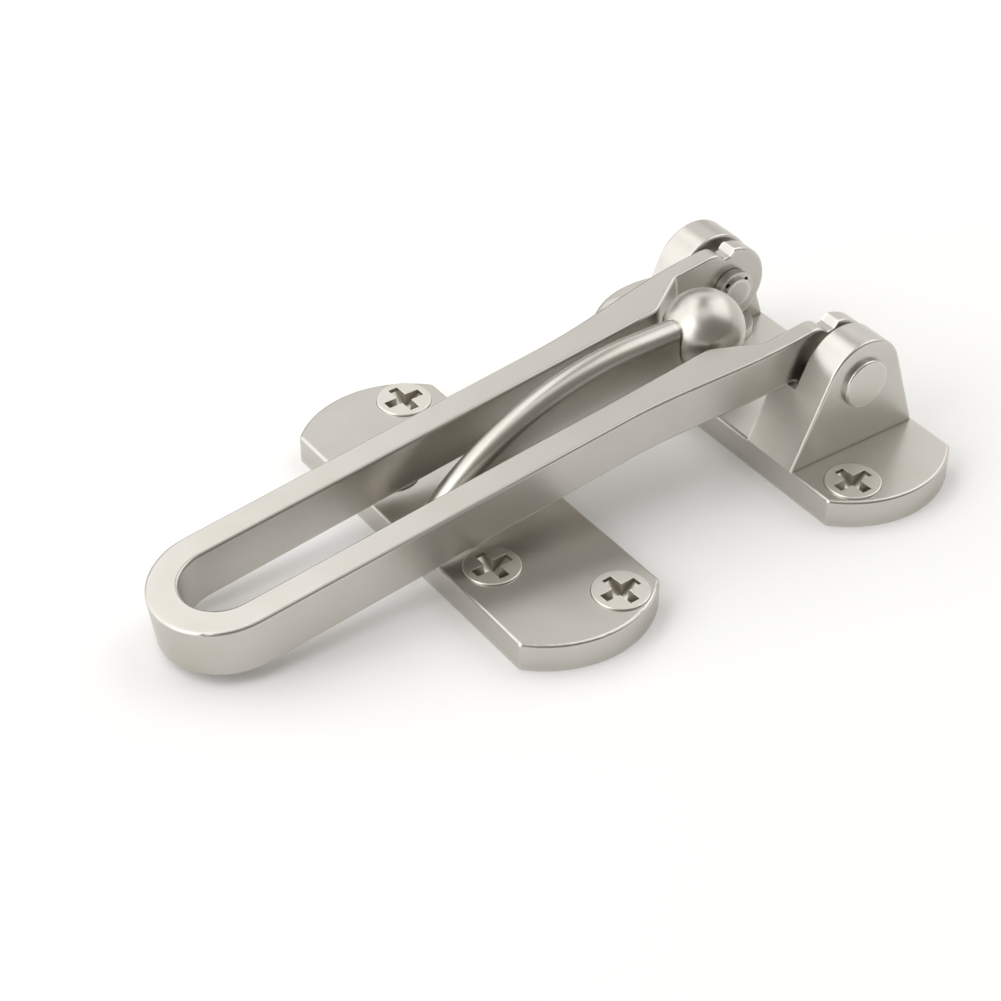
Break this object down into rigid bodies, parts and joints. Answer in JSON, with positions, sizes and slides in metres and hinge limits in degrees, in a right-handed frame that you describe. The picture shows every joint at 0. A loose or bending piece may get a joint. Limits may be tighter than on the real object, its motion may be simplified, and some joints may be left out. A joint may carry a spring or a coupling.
{
  "type": "swing bar door guard",
  "caption": "Slotted swing bar on a two-eared hinge bracket, closed over the ball of a separate arched keeper; both plates have countersunk wood screws.",
  "frame": {"origin": "middle of the hinge bracket's mounting face, on the surface it is screwed to", "axes": "+X from the bar's closed end towards the hinge, +Y along the hinge pins, +Z out of the door"},
  "size_m": [0.1192, 0.0682, 0.0457],
  "materials": {
    "satin_nickel": "satin",
    "pin_nickel": "satin",
    "ring_steel": "satin",
    "screw_steel": "satin"
  },
  "bodies": {
    "mounted": {"hinge_bracket": "satin_nickel", "keeper": "satin_nickel", "hinge_pin_near": "pin_nickel", "hinge_pin_far": "pin_nickel", "spacer_washer_near": "ring_steel", "spacer_washer_far": "ring_steel", "retaining_ring_near": "ring_steel", "retaining_ring_far": "ring_steel", "bracket_screw_near": "screw_steel", "bracket_screw_far": "screw_steel", "bracket_screw_middle": "screw_steel", "keeper_screw_near_outer": "screw_steel", "keeper_screw_near_inner": "screw_steel", "keeper_screw_far_inner": "screw_steel", "keeper_screw_far_outer": "screw_steel"},
    "bar": {"swing_bar": "satin_nickel"}
  },
  "joints": [
    {"name": "bar_swing", "type": "hinge", "parent": "mounted", "child": "bar", "pos_m": [0.0008, 0, 0.0158], "axis": [0, 1, 0], "range_deg": [0, 190]}
  ]
}
